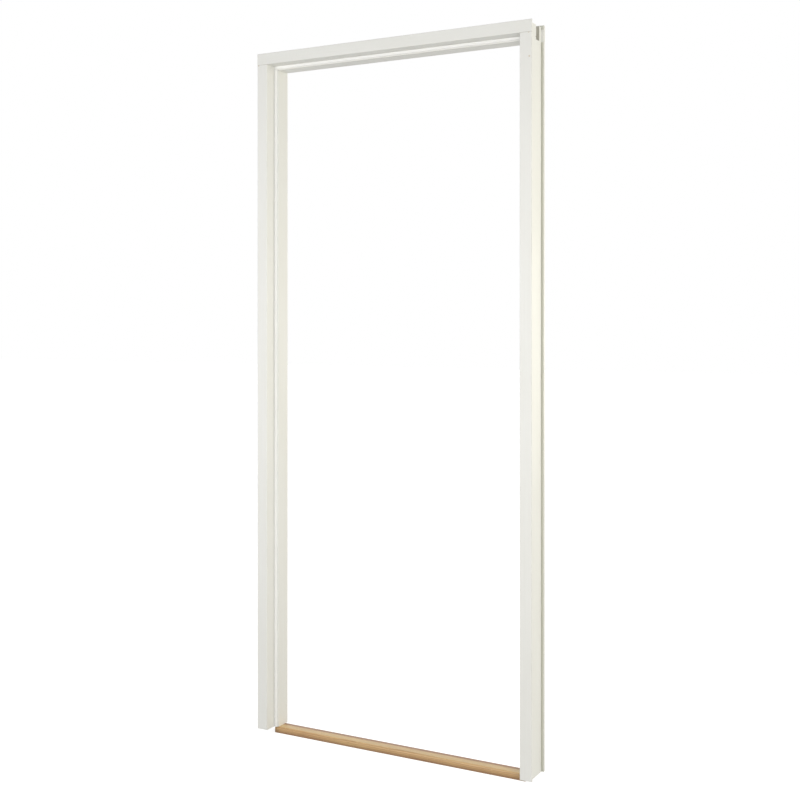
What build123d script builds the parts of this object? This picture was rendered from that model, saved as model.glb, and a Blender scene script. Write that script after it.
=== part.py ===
"""Rebated wooden door frame without its leaf: two jambs, a head over them, a low oak sill and a seal."""

import os

from build123d import *

os.makedirs("parts", exist_ok=True)

# Overall size, in millimetres
frame_width = 890.0
frame_height = 2090.0
frame_depth = 105.0

# Section shared by the jambs and the head: a thin body in front, and behind it the stop for the leaf
body_thickness = 35.0
rebate_depth = 47.0
stop_height = 12.0
face_arris = 2.5
stop_arris = 2.0
reveal_arris = 2.5
outer_arris = 1.0

# Relief on the side that faces the wall, between a thin front lip and a wider rear lip
relief_depth = 6.0
front_lip = 5.0
rear_lip = 10.0

# Groove against the rear lip, cut deeper than the relief
groove_width = 5.0
groove_depth = 6.0

# Kerf in the stop face that holds the seal
kerf_inset = 4.5
kerf_width = 3.0
kerf_depth = 8.0

# Tongue on top of each jamb, in an open slot at each end of the head
tongue_start = 51.5
tongue_width = 24.0
tongue_setback = 14.0
tongue_drop = 1.0
tongue_clearance = 0.3

# Seal: a hollow bead on the stop face and a barbed stem in the kerf
bead_width = 8.5
bead_rise = 4.5
bead_round = 2.8
bead_wall = 0.9
bead_base = 1.4
stem_width = 1.4
stem_length = 7.0
barb_width = 2.8
barb_length = 1.2
barb_slant = 65.0

# Oak sill, hung under the feet of the two stops
sill_depth = 50.0
sill_height = 19.0
sill_round = 6.0
sill_end_gap = 0.5

# Screws: two down through each end of the head, two up through each end of the sill
head_screw_radius = 2.2
head_sink_radius = 4.5
head_screw_front = 19.0
head_screw_back = 21.0
sill_screw_radius = 1.8
sill_sink_radius = 3.6
sill_screw_inset = 15.0
pilot_depth = 40.0
pilot_undersize = 0.8

# The origin is on the relieved side of the left jamb, in the middle of its flat and halfway up.
# x runs from the left jamb to the right one, y from the rebated front to the back.
flat_width = frame_depth - front_lip - groove_width - rear_lip
front_y = -front_lip - flat_width / 2
back_y = front_y + frame_depth
stop_y = front_y + rebate_depth
foot_z = -frame_height / 2
top_z = frame_height / 2
relief_top_z = top_z - relief_depth
front_shoulder_z = top_z - body_thickness
rear_shoulder_z = front_shoulder_z - stop_height

# Distances inwards from the relieved side of a jamb, or down from the relieved top of the head
outer_in = -relief_depth
body_in = outer_in + body_thickness
stop_in = body_in + stop_height
kerf_in = body_in + kerf_inset
middle_x = outer_in + frame_width / 2

# Centres of the screws
head_screw_in = outer_in + body_thickness / 2
head_screw_ys = (front_y + head_screw_front, back_y - head_screw_back)
sill_screw_in = (body_in + sill_end_gap + stop_in) / 2
sill_screw_ys = (stop_y + sill_screw_inset, stop_y + sill_depth - sill_screw_inset)


def moulding():
    """Section of a jamb, with x inwards from the relieved side and y towards the back."""
    with BuildSketch() as outline:
        with BuildLine():
            Polyline(
                (outer_in, front_y),
                (body_in, front_y),
                (body_in, stop_y),
                (stop_in, stop_y),
                (stop_in, back_y),
                (outer_in, back_y),
                close=True,
            )
        make_face()
        fillet(outline.vertices().group_by(Axis.Y)[0], face_arris)
        fillet(outline.vertices().group_by(Axis.X)[-1].sort_by(Axis.Y)[0], stop_arris)
        fillet(outline.vertices().group_by(Axis.Y)[-1].sort_by(Axis.X)[-1], reveal_arris)
        fillet(outline.vertices().group_by(Axis.Y)[-1].sort_by(Axis.X)[0], outer_arris)
        # Relief between the two lips, and the deeper groove against the rear lip
        with Locations((outer_in, front_y + front_lip)):
            Rectangle(
                relief_depth,
                flat_width + groove_width,
                align=(Align.MIN, Align.MIN),
                mode=Mode.SUBTRACT,
            )
        with Locations((0, back_y - rear_lip)):
            Rectangle(groove_depth, groove_width, align=(Align.MIN, Align.MAX), mode=Mode.SUBTRACT)
        # Kerf for the seal
        with Locations((kerf_in, stop_y)):
            Rectangle(kerf_width, kerf_depth, align=(Align.CENTER, Align.MIN), mode=Mode.SUBTRACT)
    return outline.sketch


def seal_profile():
    """Section of the seal in the same place, with its bead on the stop face and its stem in the kerf."""
    with BuildSketch() as outline:
        with Locations((kerf_in, stop_y)):
            Rectangle(bead_width, bead_rise, align=(Align.CENTER, Align.MAX))
        fillet(outline.vertices().group_by(Axis.Y)[0], bead_round)
        with BuildSketch(mode=Mode.SUBTRACT) as hollow:
            with Locations((kerf_in, stop_y - bead_base)):
                Rectangle(
                    bead_width - 2 * bead_wall,
                    bead_rise - bead_wall - bead_base,
                    align=(Align.CENTER, Align.MAX),
                )
            fillet(hollow.vertices().group_by(Axis.Y)[0], bead_round - bead_wall)
        with Locations((kerf_in, stop_y)):
            Rectangle(stem_width, stem_length, align=(Align.CENTER, Align.MIN))
        # Two barbs that grip the kerf, halfway along the stem and at its end
        with Locations(
            (kerf_in, stop_y + stem_length / 2),
            (kerf_in, stop_y + stem_length - barb_length / 2),
        ):
            Trapezoid(barb_width, barb_length, barb_slant)
    return outline.sketch


with BuildPart() as left_jamb:
    with BuildSketch(Plane.XY.offset(foot_z)):
        add(moulding())
    extrude(amount=frame_height)
    # The top is cut down in two steps to fit under the head: in front of the stop face, and behind it.
    with BuildSketch(Plane.XY.offset(front_shoulder_z)):
        with Locations((outer_in, front_y)):
            Rectangle(body_thickness, rebate_depth, align=(Align.MIN, Align.MIN))
    extrude(amount=body_thickness, mode=Mode.SUBTRACT)
    with BuildSketch(Plane.XY.offset(rear_shoulder_z)):
        with Locations((outer_in, stop_y)):
            Rectangle(
                body_thickness + stop_height,
                frame_depth - rebate_depth,
                align=(Align.MIN, Align.MIN),
            )
    extrude(amount=body_thickness + stop_height, mode=Mode.SUBTRACT)
    # Tongue, set back from the outer side and flush with the rebate face
    with BuildSketch(Plane.XY.offset(rear_shoulder_z)):
        with Locations((body_in, front_y + tongue_start)):
            Rectangle(body_thickness - tongue_setback, tongue_width, align=(Align.MAX, Align.MIN))
    extrude(amount=relief_top_z - tongue_drop - rear_shoulder_z)
    # Pilot holes for the screws of the head and of the sill
    with Locations(
        (head_screw_in, head_screw_ys[0], front_shoulder_z),
        (head_screw_in, head_screw_ys[1], rear_shoulder_z),
    ):
        Hole(head_screw_radius - pilot_undersize, pilot_depth)
    with Locations([Plane((sill_screw_in, y, foot_z), z_dir=(0, 0, -1)) for y in sill_screw_ys]):
        Hole(sill_screw_radius - pilot_undersize, pilot_depth)
left_jamb.part.label = "left_jamb"
export_step(left_jamb.part, "parts/left_jamb.step")

with BuildPart() as right_jamb:
    mirror(left_jamb.part, about=Plane.YZ.offset(middle_x))
right_jamb.part.label = "right_jamb"
export_step(right_jamb.part, "parts/right_jamb.step")

# The head lies across the frame, so its section's inward direction points down.
head_plane = Plane(origin=(outer_in, 0, relief_top_z), x_dir=(0, 0, -1), z_dir=(1, 0, 0))

with BuildPart() as head:
    with BuildSketch(head_plane):
        add(moulding())
    extrude(amount=frame_width)
    # Both ends stand back between the lips, and open slots for the tongues run through the whole thickness.
    with BuildSketch(Plane.XY.offset(rear_shoulder_z)):
        with Locations((outer_in, front_y + front_lip)):
            Rectangle(relief_depth, flat_width + groove_width, align=(Align.MIN, Align.MIN))
        with Locations((outer_in, front_y + tongue_start - tongue_clearance)):
            Rectangle(
                body_thickness + tongue_clearance,
                tongue_width + 2 * tongue_clearance,
                align=(Align.MIN, Align.MIN),
            )
        mirror(about=Plane.YZ.offset(middle_x))
    extrude(amount=body_thickness + stop_height, mode=Mode.SUBTRACT)
    # Countersunk holes in the relieved top, over the jambs' pilot holes
    with Locations(
        [
            (x, y, relief_top_z)
            for x in (head_screw_in, 2 * middle_x - head_screw_in)
            for y in head_screw_ys
        ]
    ):
        CounterSinkHole(head_screw_radius, head_sink_radius)
head.part.label = "head"
export_step(head.part, "parts/head.step")

with BuildPart() as sill:
    # Both upper edges are rounded, and the front stands flush with the stop face.
    with BuildSketch(Plane.YZ.offset(body_in + sill_end_gap)) as sill_outline:
        with Locations((stop_y, foot_z)):
            Rectangle(sill_depth, sill_height, align=(Align.MIN, Align.MAX))
        fillet(sill_outline.vertices().group_by(Axis.Y)[-1], sill_round)
    extrude(amount=frame_width - 2 * (body_thickness + sill_end_gap))
    with Locations(
        [
            Plane((x, y, foot_z - sill_height), z_dir=(0, 0, -1))
            for x in (sill_screw_in, 2 * middle_x - sill_screw_in)
            for y in sill_screw_ys
        ]
    ):
        CounterSinkHole(sill_screw_radius, sill_sink_radius)
sill.part.label = "sill"
export_step(sill.part, "parts/sill.step")

with BuildPart() as seal_left:
    # The bead runs up to the head's bead, and the stem ends with the kerf.
    bead_top_z = relief_top_z - kerf_in - bead_width / 2
    with BuildSketch(Plane.XY.offset(foot_z)):
        add(seal_profile())
    extrude(amount=bead_top_z - foot_z)
    with BuildSketch(Plane.XY.offset(rear_shoulder_z)):
        with Locations((kerf_in, stop_y)):
            Rectangle(kerf_width, kerf_depth, align=(Align.CENTER, Align.MIN))
    extrude(amount=bead_top_z - rear_shoulder_z, mode=Mode.SUBTRACT)
seal_left.part.label = "seal_left"
export_step(seal_left.part, "parts/seal_left.step")

with BuildPart() as seal_right:
    mirror(seal_left.part, about=Plane.YZ.offset(middle_x))
seal_right.part.label = "seal_right"
export_step(seal_right.part, "parts/seal_right.step")

with BuildPart() as seal_head:
    with BuildSketch(head_plane.offset(body_thickness)):
        add(seal_profile())
    extrude(amount=frame_width - 2 * body_thickness)
seal_head.part.label = "seal_head"
export_step(seal_head.part, "parts/seal_head.step")
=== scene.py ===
import math

import bmesh
import bpy
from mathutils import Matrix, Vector


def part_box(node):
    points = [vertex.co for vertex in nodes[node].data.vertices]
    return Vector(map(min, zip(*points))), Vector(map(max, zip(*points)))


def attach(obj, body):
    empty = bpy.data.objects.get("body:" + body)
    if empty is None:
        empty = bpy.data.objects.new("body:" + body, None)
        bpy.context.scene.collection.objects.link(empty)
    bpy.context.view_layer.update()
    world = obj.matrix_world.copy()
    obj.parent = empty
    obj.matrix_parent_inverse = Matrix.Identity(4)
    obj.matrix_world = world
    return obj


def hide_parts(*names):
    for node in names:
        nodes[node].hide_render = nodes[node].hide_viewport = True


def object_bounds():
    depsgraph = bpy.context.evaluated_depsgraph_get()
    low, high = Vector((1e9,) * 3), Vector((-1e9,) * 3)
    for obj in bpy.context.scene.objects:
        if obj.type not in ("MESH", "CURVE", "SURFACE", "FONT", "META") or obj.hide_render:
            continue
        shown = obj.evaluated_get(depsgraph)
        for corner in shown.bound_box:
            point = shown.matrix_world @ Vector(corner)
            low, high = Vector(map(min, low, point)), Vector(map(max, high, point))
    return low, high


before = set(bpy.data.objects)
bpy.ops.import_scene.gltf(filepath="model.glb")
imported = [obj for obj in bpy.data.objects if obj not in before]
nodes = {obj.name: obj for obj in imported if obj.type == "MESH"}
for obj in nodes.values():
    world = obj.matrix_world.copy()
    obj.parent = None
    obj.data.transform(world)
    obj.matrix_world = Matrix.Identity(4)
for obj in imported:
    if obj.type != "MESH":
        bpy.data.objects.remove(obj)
scene = bpy.context.scene
cadLow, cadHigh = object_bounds()
print("frame loaded:", ", ".join(sorted(nodes)))

# Places that everything below is measured from, in metres
headLow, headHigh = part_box("head")
jambLow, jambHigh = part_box("left_jamb")
sillLow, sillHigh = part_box("sill")
frontY = headLow.y
footZ = jambLow.z
topZ = headHigh.z
floorZ = cadLow.z
middleX = (headLow.x + headHigh.x) / 2
halfWidth = (headHigh.x - headLow.x) / 2

# The moulding's section, measured inwards from the outer side and backwards from the front face
section = {
    "body": 0.035,
    "stop": 0.012,
    "rebate": 0.047,
    "relief": 0.006,
    "frontLip": 0.005,
    "grooveStart": 0.090,
    "grooveEnd": 0.095,
    "grooveFloor": 0.012,
    "slotStart": 0.0512,
    "slotEnd": 0.0758,
    "slotLength": 0.0353,
    "kerfInset": 0.0045,
    "kerfStart": 0.038,
    "kerfEnd": 0.041,
    "kerfBottom": 0.055,
}


class Wire:
    # One socket of a shader tree. Sums and products of wires add their Math nodes by themselves.
    def __init__(self, tree, socket=None):
        self.tree = tree
        self.socket = socket

    def make(self, kind, settings=None, values=None, output=0):
        node = self.tree.nodes.new(kind)
        for name, value in (settings or {}).items():
            setattr(node, name, value)
        for name, value in (values or {}).items():
            if isinstance(value, Wire):
                self.tree.links.new(value.socket, node.inputs[name])
            else:
                node.inputs[name].default_value = value
        return Wire(self.tree, node.outputs[output])

    def maths(self, operation, first, second=0.0):
        return self.make("ShaderNodeMath", {"operation": operation}, {0: first, 1: second})

    def __add__(self, other):
        return self.maths("ADD", self, other)

    def __radd__(self, other):
        return self.maths("ADD", other, self)

    def __sub__(self, other):
        return self.maths("SUBTRACT", self, other)

    def __rsub__(self, other):
        return self.maths("SUBTRACT", other, self)

    def __mul__(self, other):
        return self.maths("MULTIPLY", self, other)

    def __truediv__(self, other):
        return self.maths("DIVIDE", self, other)

    def __pow__(self, other):
        return self.maths("POWER", self, other)

    def __abs__(self):
        return self.maths("ABSOLUTE", self)

    def larger(self, other):
        return self.maths("MAXIMUM", self, other)

    def ramp(self, low, high):
        # 0 below low, 1 above high, and smooth between them; high may be the smaller one
        return self.make(
            "ShaderNodeMapRange",
            {"interpolation_type": "SMOOTHSTEP"},
            {"Value": self, "From Min": low, "From Max": high},
        )

    def between(self, low, high, soft=0.0003):
        return self.ramp(low - soft, low + soft) * self.ramp(high + soft, high - soft)

    def joined(self, pieces):
        # Several geometries as one
        node = self.tree.nodes.new("GeometryNodeJoinGeometry")
        for piece in pieces:
            self.tree.links.new(piece.socket, node.inputs[0])
        return Wire(self.tree, node.outputs[0])

    def blend(self, first, second):
        # Colours mixed by this wire
        return self.make(
            "ShaderNodeMix",
            {"data_type": "RGBA"},
            {"Factor": self, 6: first, 7: second},
            output=2,
        )


def newMaterial(name):
    # An empty tree with a Principled shader, and the wire that further nodes are made from
    material = bpy.data.materials.new(name)
    material.use_nodes = True
    tree = material.node_tree
    shader = tree.nodes["Principled BSDF"]
    return material, shader, Wire(tree)


def plug(shader, name, wire):
    shader.id_data.links.new(wire.socket, shader.inputs[name])


def axes(start):
    # x, y and z of the object's own coordinates, in metres
    place = start.make("ShaderNodeTexCoord", output=3)
    return [place.make("ShaderNodeSeparateXYZ", values={0: place}, output=i) for i in range(3)]


def noise(start, x, y, z, scale, detail=2.0, roughness=0.5, distortion=0.0):
    place = start.make("ShaderNodeCombineXYZ", values={0: x, 1: y, 2: z})
    return start.make(
        "ShaderNodeTexNoise",
        values={
            "Vector": place,
            "Scale": scale,
            "Detail": detail,
            "Roughness": roughness,
            "Distortion": distortion,
        },
    )


def bump(start, height, distance):
    return start.make("ShaderNodeBump", values={"Height": height, "Distance": distance, "Strength": 1.0})


# White satin paint on pine, and the bare wood that it doesn't reach

paint = {
    "colour": (0.85, 0.85, 0.822, 1),
    "shadeColour": (0.80, 0.797, 0.755, 1),
    "roughness": 0.46,
    # bare wood, greyed and darkened to serve as painted shade inside the slot
    "bareAndSlotShadeColour": (0.54, 0.53, 0.47, 1),
    "bareAndSlotShadeDark": (0.45, 0.435, 0.375, 1),
    # painted shade for the groove against the rear lip
    "grooveShadeColour": (0.68, 0.685, 0.585, 1),
    # painted shade for the joint under the head
    "jointShadeColour": (0.40, 0.385, 0.33, 1),
    "jointHalf": 0.0007,
    "grainRelief": 0.00009,
    "fibrePerMetre": 260.0,
    "fibreStretch": 0.018,  # how little the fibres change along the piece
    "ringsPerMetre": 420.0,
    "jambHeart": 0.10,  # the tree's middle, inwards from the outer side
    "headHeart": 0.11,
    "heartDepth": 0.02,
    "nickColour": (0.60, 0.48, 0.31, 1),
}

# Marks that the photo shows: place, radius in metres and how dark
marks = {
    "left_jamb": [
        ((0.029, -0.006, -0.894), 0.0045, 0.16),
        ((-0.001, -0.0475, 1.008), 0.0028, 0.55),
    ],
    "right_jamb": [
        ((0.8773, -0.0475, 0.943), 0.0036, 0.55),
        ((0.8755, -0.0475, 1.009), 0.0030, 0.45),
    ],
    "head": [],
}


def whitePaint(piece):
    lying = piece == "head"
    material, shader, start = newMaterial("satinPaint_" + piece)
    x, y, z = axes(start)
    inward = topZ - z if lying else halfWidth - abs(x - middleX)
    along = x if lying else z
    depth = y - frontY
    fibre = paint["fibrePerMetre"]

    # Fibres telegraph through the paint as long shallow ridges, with a fine roller stipple over them
    alongFibre = along * (fibre * paint["fibreStretch"])
    ridges = noise(start, inward * fibre, depth * fibre, alongFibre, 1.0, 3.0, 0.55, 0.4)
    fine = noise(start, inward, depth, along * 0.12, 1500.0, 2.0, 0.6)
    stipple = noise(start, x, y, z, 900.0, 2.0, 0.55)
    waves = noise(start, inward * 3.0, depth * 3.0, along, 3.2, 2.0)

    # Growth rings on a cut across the fibres
    ringX = inward - paint["headHeart" if lying else "jambHeart"]
    ringY = depth - paint["heartDepth"]
    rings = ((ringX * ringX + ringY * ringY) ** 0.5) * paint["ringsPerMetre"] + ridges * 1.6
    ringLine = start.maths("FRACT", rings)
    endGrain = (ringLine.ramp(0.55, 0.95) * ringLine.ramp(1.0, 0.95)) * 0.7 + fine * 0.3

    # Bare wood: the cut ends, the shoulders, the tongue, the slots and the kerf. Its grey, dark colour is
    # partly painted shade, matched to the shade inside the slot.
    kerfWalls = inward.between(section["kerfStart"] - 0.0002, section["kerfEnd"] + 0.0002)
    kerfMouth = depth.ramp(section["rebate"] + 0.0004, section["rebate"] + 0.0012)
    kerfFloor = depth.ramp(section["kerfBottom"] + 0.0004, section["kerfBottom"] + 0.0002)
    kerf = kerfWalls * kerfMouth * kerfFloor
    if lying:
        fromEnd = halfWidth - abs(x - middleX)
        slotDepths = depth.between(section["slotStart"] - 0.0001, section["slotEnd"] + 0.0001, 0.00015)
        slotReach = fromEnd.ramp(section["slotLength"] + 0.0003, section["slotLength"] + 0.0001)
        bare = (slotDepths * slotReach).larger(kerf)
        cutEnd = fromEnd.ramp(0.0004, 0.0001)
    else:
        foot = z.ramp(footZ + 0.00015, footZ + 0.00005)
        rearTop = topZ - section["body"] - section["stop"]
        bareTop = z.ramp(rearTop - 0.00012, rearTop - 0.00004)
        behindStop = depth.ramp(section["rebate"] - 0.0002, section["rebate"] + 0.0002)
        bare = foot.larger(bareTop * behindStop).larger(kerf)
        cutEnd = foot
    # Painted shade: the groove against the rear lip is coloured darker, as if in deep shade
    grooveDepths = depth.between(section["grooveStart"] - 0.0002, section["grooveEnd"] + 0.0002)
    grooveFloor = inward.ramp(section["grooveFloor"] + 0.0005, section["grooveFloor"] + 0.0002)
    grooveShade = grooveDepths * inward.ramp(0.0002, 0.0008) * grooveFloor

    tone = waves * 0.5 + ridges * 0.3 + fine * 0.2
    coat = tone.ramp(0.25, 0.75).blend(paint["shadeColour"], paint["colour"])
    # Painted shade in the joint under the head, on the front and on the outer side
    jointZ = topZ - section["body"]
    jointHeights = z.between(jointZ - paint["jointHalf"], jointZ + paint["jointHalf"], 0.0003)
    jointShade = jointHeights * depth.ramp(section["frontLip"] + 0.001, section["frontLip"])
    if lying:
        jointShade = jointShade * (halfWidth - abs(x - middleX)).ramp(section["body"] + 0.001, section["body"])
    coat = (jointShade * (0.45 + (waves - 0.5) * 0.8)).blend(coat, paint["jointShadeColour"])
    # The groove is painted darker: painted shade
    thin = (grooveShade * (0.86 + (tone - 0.5) * 0.3)).blend(coat, paint["grooveShadeColour"])
    # Bare wood's colour, partly painted shade inside the slot
    wood = endGrain.blend(paint["bareAndSlotShadeColour"], paint["bareAndSlotShadeDark"])
    colour = bare.blend(thin, wood)
    for place, radius, darkness in marks[piece]:
        dx, dy, dz = x - place[0], y - place[1], z - place[2]
        far = (dx * dx + dy * dy + dz * dz) ** 0.5 + (fine - 0.5) * (radius * 0.8)
        colour = (far.ramp(radius, radius * 0.45) * darkness).blend(colour, paint["nickColour"])
    plug(shader, "Base Color", colour)

    rough = paint["roughness"] + (ridges - 0.5) * 0.10 + (waves - 0.5) * 0.08
    plug(shader, "Roughness", rough + (bare * 0.45).larger(cutEnd * 0.2))
    height = ridges * 0.55 + fine * 0.15 + stipple * 0.22 + endGrain * bare.larger(cutEnd * 0.6) * 0.8
    plug(shader, "Normal", bump(start, height, paint["grainRelief"]))
    return material


easing = {
    "radius": 0.0004,  # sandpaper and paint round every sharp edge this much
    "steps": 2,
    "sharpFrom": 50.0,  # degrees between two faces
}


def easedCopy(node, name, material):
    # A copy of a CAD piece with flat faces made whole, sharp edges eased and rounds shaded smooth
    mesh = bpy.data.meshes.new(name)
    form = bmesh.new()
    form.from_mesh(nodes[node].data)
    bmesh.ops.remove_doubles(form, verts=form.verts, dist=1e-6)
    bmesh.ops.dissolve_limit(form, angle_limit=math.radians(0.5), verts=form.verts, edges=form.edges)
    sharp = [e for e in form.edges if e.calc_face_angle(0) > math.radians(easing["sharpFrom"])]
    bmesh.ops.bevel(
        form,
        geom=sharp,
        offset=easing["radius"],
        offset_type="OFFSET",
        segments=easing["steps"],
        profile=0.5,
        affect="EDGES",
        clamp_overlap=True,
    )
    bmesh.ops.triangulate(form, faces=[f for f in form.faces if len(f.verts) > 4])
    form.to_mesh(mesh)
    form.free()
    mesh.shade_smooth()
    mesh.set_sharp_from_angle(angle=math.radians(easing["sharpFrom"]))
    mesh.materials.append(material)
    piece = bpy.data.objects.new(name, mesh)
    scene.collection.objects.link(piece)
    weight = piece.modifiers.new("faceWeights", "WEIGHTED_NORMAL")
    weight.keep_sharp = True
    weight.weight = 100
    return settled(piece, name)


def settled(piece, name):
    # The evaluated mesh as a plain piece of its own
    done = bpy.data.meshes.new_from_object(piece.evaluated_get(bpy.context.evaluated_depsgraph_get()))
    done.name = name
    bpy.data.objects.remove(piece)
    plain = bpy.data.objects.new(name, done)
    scene.collection.objects.link(plain)
    return plain


for node, name in (("left_jamb", "leftJamb"), ("right_jamb", "rightJamb"), ("head", "headPiece")):
    piece = easedCopy(node, name, whitePaint(node))
    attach(piece, "root")
    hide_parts(node)
print("jambs and head eased and painted")


# Oak sill under a clear lacquer

oak = {
    "late": (0.36, 0.185, 0.075, 1),
    "early": (0.60, 0.370, 0.165, 1),
    "pale": (0.70, 0.505, 0.225, 1),
    "pore": (0.17, 0.080, 0.030, 1),
    "highlightFrom": 0.005,  # painted highlight: a pale strip on the front rounding, behind the front edge
    "highlightTo": 0.028,
    "highlightShare": 0.62,
    "backShadeColour": (0.30, 0.135, 0.050, 1),  # painted shade along the back of the sill
    "backShadeWidth": 0.024,
    "backShadeShare": 0.95,
    "lowShadeColour": (0.23, 0.115, 0.050, 1),  # painted shade, darker towards the bottom of the front
    "lowShadeFrom": 0.007,  # below the top
    "lowShadeShare": 0.80,
    "roughness": 0.42,
    "lacquer": 0.25,
    "lacquerRoughness": 0.22,
    "ringsPerMetre": 230.0,
    "heartDepth": 0.018,  # the tree's middle, behind the front edge
    "heartDrop": 0.060,  # and below the sill
    "relief": 0.00012,
}


def lacqueredOak():
    material, shader, start = newMaterial("lacqueredOak")
    x, y, z = axes(start)
    drift = noise(start, x * 0.55, y * 4.0, z * 4.0, 3.0, 3.0, 0.55)
    wobble = noise(start, x * 1.4, y * 12.0, z * 12.0, 9.0, 3.0, 0.6)
    # Rings round a heart that lies below the board, so the top shows long flames and the ends show arcs
    across = y - (sillLow.y + oak["heartDepth"]) + (drift - 0.5) * 0.050
    up = z - (floorZ - oak["heartDrop"]) + (drift - 0.5) * 0.030
    radius = ((across * across + up * up) ** 0.5) * oak["ringsPerMetre"] + wobble * 1.3
    ring = start.maths("FRACT", radius)
    late = ring.ramp(0.35, 0.93) * ring.ramp(1.0, 0.93)
    # Open pores lie in the early wood of each ring, as short dashes along the board
    dashes = noise(start, x * 22.0, y * 900.0, z * 900.0, 1.0, 2.0, 0.6)
    poreBand = ring.ramp(0.02, 0.10) * ring.ramp(0.50, 0.25)
    pores = dashes.ramp(0.60, 0.70) * (0.25 + poreBand * 0.75)
    flecks = noise(start, x * 90.0, y * 260.0, z * 40.0, 1.0, 1.0).ramp(0.66, 0.74)
    tone = noise(start, x, y * 6.0, z * 6.0, 5.0, 2.0)
    body = late.blend(oak["early"], oak["late"])
    body = (tone.ramp(0.3, 0.75) * 0.45).blend(body, oak["pale"])
    body = (flecks * 0.30).blend(body, oak["pale"])
    ragged = (tone - 0.5) * 0.004
    # Painted highlight: the front rounding behind the front edge is lightened with the pale colour
    frontHighlight = (y + ragged).between(sillLow.y + oak["highlightFrom"], sillLow.y + oak["highlightTo"], 0.004)
    body = (frontHighlight * oak["highlightShare"]).blend(body, oak["pale"])
    # Painted shade: the back strip of the sill is darkened
    backShade = (y + ragged).ramp(sillHigh.y - oak["backShadeWidth"], sillHigh.y - oak["backShadeWidth"] * 0.55)
    body = (backShade * oak["backShadeShare"]).blend(body, oak["backShadeColour"])
    # Painted shade: the sill darkens towards the bottom, from just below the top
    low = (z + ragged).ramp(sillHigh.z - oak["lowShadeFrom"], sillLow.z + 0.001)
    body = (low * oak["lowShadeShare"]).blend(body, oak["lowShadeColour"])
    plug(shader, "Base Color", (pores * 0.75).blend(body, oak["pore"]))
    plug(shader, "Roughness", oak["roughness"] + pores * 0.25 + (tone - 0.5) * 0.1)
    plug(shader, "Normal", bump(start, late * 0.3 - pores * 0.8 + wobble * 0.2, oak["relief"]))
    shader.inputs["Coat Weight"].default_value = oak["lacquer"]
    shader.inputs["Coat Roughness"].default_value = oak["lacquerRoughness"]
    return material


piece = easedCopy("sill", "oakSill", lacqueredOak())
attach(piece, "root")
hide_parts("sill")
print("oak laid on the sill")


# White rubber seal

seal = {
    "colour": (0.965, 0.965, 0.95, 1),
    "dustColour": (0.86, 0.85, 0.81, 1),
    "dustShare": 0.5,
    "roughness": 0.55,
    "gloss": 0.35,
    "ribPitch": 0.0011,
    "relief": 0.00010,
    "width": 0.0085,
    "rise": 0.0045,
    "round": 0.0028,
    "rebateRound": 0.0010,  # on the side that lies against the rebate
    "edge": 0.0002,
    "wall": 0.0009,
    "base": 0.0014,
    "roundSteps": 9,
    "stemWidth": 0.0014,
    "stemLength": 0.0070,
    "barbWidth": 0.0028,
    "barbLength": 0.0012,
    "barbBacks": (0.0041, 0.0070),
}


def whiteRubber(lying):
    material, shader, start = newMaterial("whiteRubberHead" if lying else "whiteRubberSide")
    x, y, z = axes(start)
    inward = topZ - z if lying else halfWidth - abs(x - middleX)
    along = x if lying else z
    ribs = start.maths("SINE", inward * (2 * math.pi / seal["ribPitch"]))
    dust = noise(start, inward * 5.0, y * 5.0, along, 38.0, 3.0, 0.6)
    skin = noise(start, x, y, z, 2200.0, 2.0, 0.6)
    dusty = dust.ramp(0.45, 0.85) * seal["dustShare"]
    plug(shader, "Base Color", dusty.blend(seal["colour"], seal["dustColour"]))
    plug(shader, "Roughness", seal["roughness"] + (dust - 0.5) * 0.2)
    plug(shader, "Normal", bump(start, ribs * 0.12 + skin * 0.3, seal["relief"]))
    shader.inputs["Specular IOR Level"].default_value = seal["gloss"]
    return material


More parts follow.
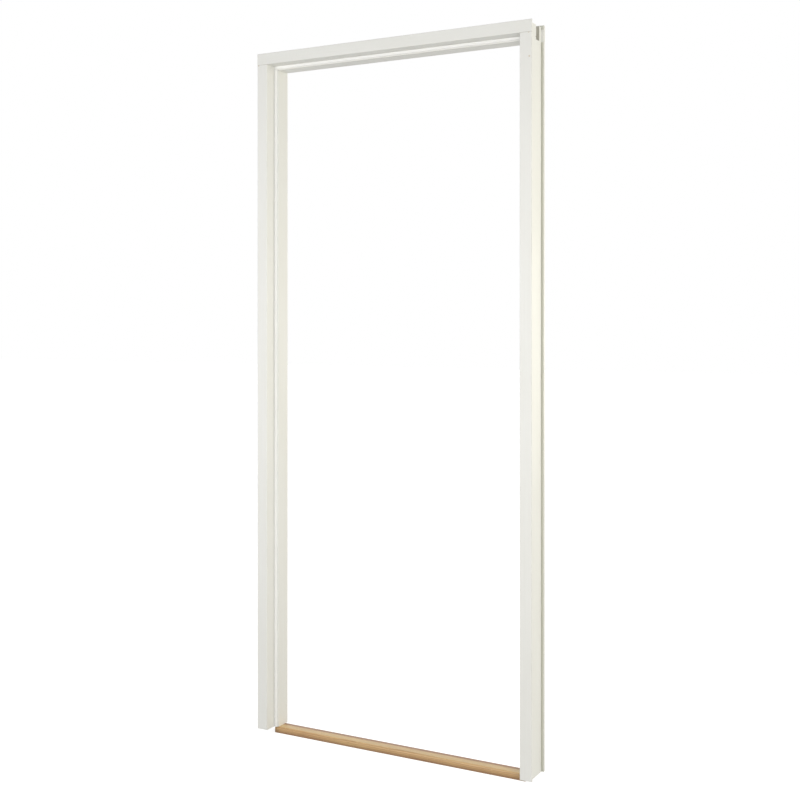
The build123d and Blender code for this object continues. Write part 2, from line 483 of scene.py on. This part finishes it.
def sealTree():
    # One straight length of seal: its section is filled and drawn out along z, then turned into place
    tree = bpy.data.node_groups.new("sealStrip", "GeometryNodeTree")
    sizes = {}
    for name in ("Length", "Stem From", "Stem To", "Rebate Side"):
        sizes[name] = tree.interface.new_socket(name, in_out="INPUT", socket_type="NodeSocketFloat")
    for name in ("Place", "Turn"):
        sizes[name] = tree.interface.new_socket(name, in_out="INPUT", socket_type="NodeSocketVector")
    sizes["Rubber"] = tree.interface.new_socket("Rubber", in_out="INPUT", socket_type="NodeSocketMaterial")
    tree.interface.new_socket("Strip", in_out="OUTPUT", socket_type="NodeSocketGeometry")
    given = tree.nodes.new("NodeGroupInput")
    start = Wire(tree)
    length, stemFrom, stemTo, side, place, turn, rubber = [Wire(tree, given.outputs[name]) for name in sizes]

    def outline(width, height, middle, frontRound, rebateRound, backRound):
        # A rectangle across the kerf's middle, with a round of its own on each front corner
        box = start.make(
            "GeometryNodeCurvePrimitiveQuadrilateral",
            {"mode": "RECTANGLE"},
            {"Width": width, "Height": height},
        )
        where = start.make("GeometryNodeInputPosition")
        across, depth = [start.make("ShaderNodeSeparateXYZ", values={0: where}, output=i) for i in (0, 1)]
        front = depth.ramp(0.0001, -0.0001)
        byRebate = (across * side).ramp(-0.0001, 0.0001)
        wanted = byRebate * (rebateRound - frontRound) + frontRound
        soft = start.make(
            "GeometryNodeFilletCurve",
            {"mode": "POLY"},
            {
                "Curve": box,
                "Count": seal["roundSteps"],
                "Radius": front * (wanted - backRound) + backRound,
                "Limit Radius": True,
            },
        )
        return start.make(
            "GeometryNodeTransform", values={"Geometry": soft, "Translation": (0, middle, 0)}
        )

    def drawn(curves, low, high):
        # The filled section at z = low, drawn out to high, with both ends closed
        face = start.make("GeometryNodeFillCurve", {"mode": "NGONS"}, {"Curve": start.joined(curves)})
        lift = start.make("ShaderNodeCombineXYZ", values={2: low})
        atLow = start.make("GeometryNodeTransform", values={"Geometry": face, "Translation": lift})
        rise = start.make("ShaderNodeCombineXYZ", values={2: high - low})
        body = start.make(
            "GeometryNodeExtrudeMesh",
            {"mode": "FACES"},
            {"Mesh": atLow, "Offset": rise, "Offset Scale": 1.0, "Individual": False},
        )
        under = start.make("GeometryNodeFlipFaces", values={"Mesh": atLow})
        both = start.joined([body, under])
        return start.make("GeometryNodeMergeByDistance", values={"Geometry": both, "Distance": 1e-7})

    wall, base, rise = seal["wall"], seal["base"], seal["rise"]
    hollowRise = rise - wall - base
    bead = [
        outline(seal["width"], rise, -rise / 2, seal["round"], seal["rebateRound"], seal["edge"]),
        outline(
            seal["width"] - 2 * wall,
            hollowRise,
            -base - hollowRise / 2,
            seal["round"] - wall,
            seal["edge"],
            seal["edge"],
        ),
    ]
    stemHeight = seal["stemLength"] + base / 2
    stem = outline(seal["stemWidth"], stemHeight, seal["stemLength"] - stemHeight / 2, 0.0, 0.0, seal["edge"])
    solids = [drawn(bead, 0.0, length), drawn([stem], stemFrom, stemTo)]
    for back in seal["barbBacks"]:
        barb = start.make(
            "GeometryNodeCurvePrimitiveQuadrilateral",
            {"mode": "TRAPEZOID"},
            {
                "Bottom Width": seal["barbWidth"],
                "Top Width": seal["stemWidth"] + seal["edge"],
                "Height": seal["barbLength"],
                "Offset": 0.0,
            },
        )
        shifted = start.make(
            "GeometryNodeTransform",
            values={"Geometry": barb, "Translation": (0, back - seal["barbLength"] / 2, 0)},
        )
        solids.append(drawn([shifted], stemFrom, stemTo))
    fused = start.make("GeometryNodeMeshBoolean", {"operation": "UNION", "solver": "EXACT"})
    for solid in solids:
        tree.links.new(solid.socket, fused.socket.node.inputs["Mesh 2"])
    placed = start.make(
        "GeometryNodeTransform",
        values={"Geometry": fused, "Translation": place, "Rotation": turn},
    )
    real = start.make("GeometryNodeRealizeInstances", values={"Geometry": placed})
    coated = start.make("GeometryNodeSetMaterial", values={"Geometry": real, "Material": rubber})
    out = tree.nodes.new("NodeGroupOutput")
    tree.links.new(coated.socket, out.inputs["Strip"])
    return tree, sizes


def pressInSeals():
    tree, sizes = sealTree()
    sideRubber, headRubber = whiteRubber(False), whiteRubber(True)
    kerf = section["body"] + section["kerfInset"]  # inwards from the outer side to the kerf's middle
    stopY = frontY + section["rebate"]
    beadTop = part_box("seal_left")[1].z
    stemTop = topZ - section["body"] - section["stop"]
    upright = {"Length": beadTop - footZ, "Stem From": 0.0, "Stem To": stemTop - footZ, "Turn": (0, 0, 0)}
    across = 2 * (halfWidth - section["body"])
    lying = {"Length": across, "Stem From": 0.0, "Stem To": across, "Turn": (0, math.radians(90), 0)}
    strips = {
        "seal_left": ("leftSeal", upright, -1.0, (middleX - halfWidth + kerf, stopY, footZ), sideRubber),
        "seal_right": ("rightSeal", upright, 1.0, (middleX + halfWidth - kerf, stopY, footZ), sideRubber),
        "seal_head": ("headSeal", lying, -1.0, (middleX - across / 2, stopY, topZ - kerf), headRubber),
    }
    for node, (name, values, side, place, rubber) in strips.items():
        holder = bpy.data.objects.new(node, bpy.data.meshes.new(node))
        scene.collection.objects.link(holder)
        modifier = holder.modifiers.new("strip", "NODES")
        modifier.node_group = tree
        for size, value in {**values, "Rebate Side": side, "Place": place, "Rubber": rubber}.items():
            modifier[sizes[size].identifier] = value
        piece = settled(holder, name)
        piece.data.shade_smooth()
        piece.data.set_sharp_from_angle(angle=math.radians(easing["sharpFrom"]))
        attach(piece, "root")
        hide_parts(node)


pressInSeals()
print("seal pressed in")


# Countersunk screws: two down through each end of the head, two up through each end of the sill

screws = {
    "head": {"headRadius": 0.00425, "shankRadius": 0.0020, "length": 0.062, "down": True},
    "sill": {"headRadius": 0.00340, "shankRadius": 0.0016, "length": 0.050, "down": False},
    "sunk": 0.0002,  # below the wood's surface
    "rim": 0.00025,
    "countersink": 82.0,
    "coreShare": 0.62,  # the threaded part under the shank, as a share of its radius
    "shankLength": 0.020,
    "pointLength": 3.0,  # in radii of the threaded part
    "slotReach": 0.62,  # the cross, as a share of the head's radius
    "slotWidth": 0.00055,
    "slotDepth": 0.0017,
    "slotTaper": 0.55,
    "slotOverlap": 1.15,  # the cutter is this much taller than the slot is deep
    "sharpFrom": 35.0,  # degrees between two faces
    "sides": 40,
    "seed": 5,
    "headInward": 0.0175,
    "headDepths": (0.019, 0.084),
    "sillInward": 0.04125,
    "sillDepths": (0.062, 0.082),
}


def blade(start, reach, width, depth, turn):
    # One arm pair of the cross: a thin square taper that narrows downwards
    taper = start.make(
        "GeometryNodeMeshCone",
        values={"Vertices": 4, "Radius Top": 1.0, "Radius Bottom": screws["slotTaper"], "Depth": 1.0},
    )
    squared = start.make(
        "GeometryNodeTransform", values={"Geometry": taper, "Rotation": (0, 0, math.radians(45))}
    )
    size = start.make(
        "ShaderNodeCombineXYZ",
        values={0: reach * math.sqrt(2), 1: width * math.sqrt(2), 2: depth * screws["slotOverlap"]},
    )
    sunk = start.make("ShaderNodeCombineXYZ", values={2: depth * -1.0})
    thin = start.make(
        "GeometryNodeTransform", values={"Geometry": squared, "Translation": sunk, "Scale": size}
    )
    return start.make(
        "GeometryNodeTransform", values={"Geometry": thin, "Rotation": (0, 0, math.radians(turn))}
    )


def screwTree(material):
    # Screws on the points of the mesh, each turned by its own angle, as one plain mesh
    tree = bpy.data.node_groups.new("countersunkScrews", "GeometryNodeTree")
    sockets = {}
    tree.interface.new_socket("Places", in_out="INPUT", socket_type="NodeSocketGeometry")
    for name in ("Head Radius", "Shank Radius", "Length", "Tilt"):
        sockets[name] = tree.interface.new_socket(name, in_out="INPUT", socket_type="NodeSocketFloat")
    tree.interface.new_socket("Screws", in_out="OUTPUT", socket_type="NodeSocketGeometry")
    given = tree.nodes.new("NodeGroupInput")
    start = Wire(tree)
    places, headRadius, shankRadius, length, tilt = [
        Wire(tree, given.outputs[name])
        for name in ("Places", "Head Radius", "Shank Radius", "Length", "Tilt")
    ]

    # Stacked tapers from the top down: rim, cone, shank, core and point
    cone = (headRadius - shankRadius) / math.tan(math.radians(screws["countersink"] / 2))
    core = shankRadius * screws["coreShare"]
    rim = screws["rim"]
    bends = [
        (0.0, headRadius - rim),
        (rim, headRadius),
        (cone + rim, shankRadius),
        (screws["shankLength"], shankRadius),
        (shankRadius + screws["shankLength"], core),
        (length - core * screws["pointLength"], core),
        (length, 0.0),
    ]
    pieces = [
        start.make(
            "GeometryNodeMeshCircle",
            {"fill_type": "NGON"},
            {"Vertices": screws["sides"], "Radius": headRadius - rim},
        )
    ]
    for (top, wide), (bottom, narrow) in zip(bends, bends[1:]):
        taper = start.make(
            "GeometryNodeMeshCone",
            {"fill_type": "NONE"},
            {
                "Vertices": screws["sides"],
                "Radius Top": wide,
                "Radius Bottom": narrow,
                "Depth": bottom - top,
            },
        )
        down = start.make("ShaderNodeCombineXYZ", values={2: bottom * -1.0})
        pieces.append(
            start.make("GeometryNodeTransform", values={"Geometry": taper, "Translation": down})
        )
    joined = start.joined(pieces)
    whole = start.make("GeometryNodeMergeByDistance", values={"Geometry": joined, "Distance": 1e-6})

    reach = headRadius * screws["slotReach"]
    cross = start.make("GeometryNodeMeshBoolean", {"operation": "UNION", "solver": "EXACT"})
    cut = start.make(
        "GeometryNodeMeshBoolean", {"operation": "DIFFERENCE", "solver": "EXACT"}, {"Mesh 1": whole}
    )
    for turn in (0.0, 90.0):
        arm = blade(start, reach, screws["slotWidth"], screws["slotDepth"], turn)
        tree.links.new(arm.socket, cross.socket.node.inputs["Mesh 2"])
    tree.links.new(cross.socket, cut.socket.node.inputs["Mesh 2"])

    low = start.make("ShaderNodeCombineXYZ", values={0: tilt})
    high = start.make("ShaderNodeCombineXYZ", values={0: tilt, 2: 2 * math.pi})
    turned = start.make(
        "FunctionNodeRandomValue",
        {"data_type": "FLOAT_VECTOR"},
        {0: low, 1: high, "Seed": screws["seed"]},
    )
    planted = start.make(
        "GeometryNodeInstanceOnPoints", values={"Points": places, "Instance": cut, "Rotation": turned}
    )
    real = start.make("GeometryNodeRealizeInstances", values={"Geometry": planted})
    coated = start.make("GeometryNodeSetMaterial", values={"Geometry": real, "Material": material})
    out = tree.nodes.new("NodeGroupOutput")
    tree.links.new(coated.socket, out.inputs["Screws"])
    return tree, sockets


zinc = {
    "dull": (0.60, 0.61, 0.62, 1),
    "bright": (0.76, 0.76, 0.74, 1),
    "roughness": 0.30,
    "bloomRoughness": 0.22,
    "relief": 0.00002,
}


def zincPlate():
    material, shader, start = newMaterial("zincPlate")
    x, y, z = axes(start)
    bloom = noise(start, x, y, z, 420.0, 3.0, 0.6)
    brushed = noise(start, x * 60.0, y * 60.0, z * 8.0, 60.0, 2.0, 0.6)
    plug(shader, "Base Color", bloom.ramp(0.3, 0.75).blend(zinc["dull"], zinc["bright"]))
    plug(shader, "Roughness", zinc["roughness"] + bloom * zinc["bloomRoughness"])
    plug(shader, "Normal", bump(start, brushed, zinc["relief"]))
    shader.inputs["Metallic"].default_value = 1.0
    return material


def driveScrews():
    tree, sockets = screwTree(zincPlate())
    surfaces = {
        "head": topZ - section["relief"] - screws["sunk"],
        "sill": sillLow.z + screws["sunk"],
    }
    for where, height in surfaces.items():
        kind = screws[where]
        inward = screws[where + "Inward"]
        mesh = bpy.data.meshes.new(where + "ScrewPlaces")
        spots = [
            (middleX + side * (halfWidth - inward), frontY + depth, height)
            for side in (-1, 1)
            for depth in screws[where + "Depths"]
        ]
        mesh.from_pydata(spots, [], [])
        holder = bpy.data.objects.new(where + "ScrewPlaces", mesh)
        scene.collection.objects.link(holder)
        modifier = holder.modifiers.new("screws", "NODES")
        modifier.node_group = tree
        modifier[sockets["Head Radius"].identifier] = kind["headRadius"]
        modifier[sockets["Shank Radius"].identifier] = kind["shankRadius"]
        modifier[sockets["Length"].identifier] = kind["length"]
        modifier[sockets["Tilt"].identifier] = 0.0 if kind["down"] else math.pi
        piece = settled(holder, where + "Screws")
        piece.data.shade_smooth()
        piece.data.set_sharp_from_angle(angle=math.radians(screws["sharpFrom"]))
        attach(piece, "root")


driveScrews()
print("screws driven")


# Stage: a white floor and lamps at a plain level

stage = {
    "floorColour": (0.45, 0.45, 0.45, 1),
    "floorGlow": 0.85,
    "floorHalf": 30.0,
    "skyStrength": 0.49,
    "skyColour": (1.0, 1.0, 1.0, 1),
}


def seenDirectly(start):
    # 1 where the camera, a reflection or glass sees the surface, and 0 where it only lights something
    rays = start.make("ShaderNodeLightPath")
    node = rays.socket.node
    kinds = ("Is Camera Ray", "Is Glossy Ray", "Is Transmission Ray")
    direct, glossy, glass = [Wire(start.tree, node.outputs[kind]) for kind in kinds]
    return direct.larger(glossy).larger(glass)


def makeStage():
    mesh = bpy.data.meshes.new("floor")
    half = stage["floorHalf"]
    corners = [(-half, -half), (half, -half), (half, half), (-half, half)]
    mesh.from_pydata([(x, y, floorZ) for x, y in corners], [], [(0, 1, 2, 3)])
    floor = bpy.data.objects.new("floor", mesh)
    scene.collection.objects.link(floor)
    material, shader, start = newMaterial("paleFloor")
    shader.inputs["Base Color"].default_value = stage["floorColour"]
    shader.inputs["Roughness"].default_value = 1.0
    shader.inputs["Specular IOR Level"].default_value = 0.0
    shader.inputs["Emission Color"].default_value = (1, 1, 1, 1)
    glow = seenDirectly(start) * stage["floorGlow"]
    start.tree.links.new(glow.socket, shader.inputs["Emission Strength"])
    mesh.materials.append(material)

    world = bpy.data.worlds.new("studio")
    scene.world = world
    world.use_nodes = True
    tree = world.node_tree
    tree.nodes.clear()
    start = Wire(tree)
    sky = start.make(
        "ShaderNodeBackground",
        values={"Color": stage["skyColour"], "Strength": stage["skyStrength"]},
    )
    white = start.make("ShaderNodeBackground", values={"Color": (1, 1, 1, 1), "Strength": 1.0})
    both = start.make("ShaderNodeMixShader", values={0: seenDirectly(start), 1: sky, 2: white})
    output = tree.nodes.new("ShaderNodeOutputWorld")
    tree.links.new(both.socket, output.inputs["Surface"])


lamps = {
    "behindLamp": {"place": (3.4, 2.6, 0.6), "size": 1.8, "power": 46.0, "colour": (1, 0.965, 0.80)},
    "sideLamp": {"place": (3.4, -0.2, 0.7), "size": 1.4, "power": 10.0, "colour": (1, 0.965, 0.82)},
    "rightLamp": {"place": (2.6, -2.8, 0.2), "size": 1.5, "power": 35.0, "colour": (1, 0.985, 0.94)},
    "leftLamp": {"place": (-0.3, -2.3, 0.35), "size": 1.2, "power": 22.5, "colour": (1, 1, 1)},
    "innerLamp": {"place": (1.0, 0.9, 0.1), "size": 0.8, "power": 2.0, "colour": (1, 0.955, 0.82)},
}


def makeLamps():
    target = Vector((middleX, 0, (footZ + topZ) / 2))
    for name, lamp in lamps.items():
        light = bpy.data.lights.new(name, "AREA")
        light.shape = "SQUARE"
        light.size = lamp["size"]
        light.energy = lamp["power"]
        light.color = lamp["colour"]
        holder = bpy.data.objects.new(name, light)
        holder.location = lamp["place"]
        holder.rotation_euler = (target - Vector(lamp["place"])).to_track_quat("-Z", "Y").to_euler()
        holder.visible_camera = False
        scene.collection.objects.link(holder)


# The photo's camera: level, turned left, with the frame off the lens's axis
camera = {
    "place": (2.13516, -3.40396, 0.21075),
    "turn": 31.773,
    "lens": 57.777,
    "sensor": 36.0,
    "shift": (0.15698, -0.09589),
    "clipEnd": 200.0,
}


def makeCamera():
    lens = bpy.data.cameras.new("photoCamera")
    lens.sensor_width = camera["sensor"]
    lens.lens = camera["lens"]
    lens.shift_x, lens.shift_y = camera["shift"]
    lens.clip_end = camera["clipEnd"]
    holder = bpy.data.objects.new("photoCamera", lens)
    holder.location = camera["place"]
    holder.rotation_euler = (math.radians(90), 0, math.radians(camera["turn"]))
    scene.collection.objects.link(holder)
    scene.camera = holder


makeStage()
makeLamps()
makeCamera()
scene.view_settings.view_transform = "Standard"
print("stage, lamps and camera set")
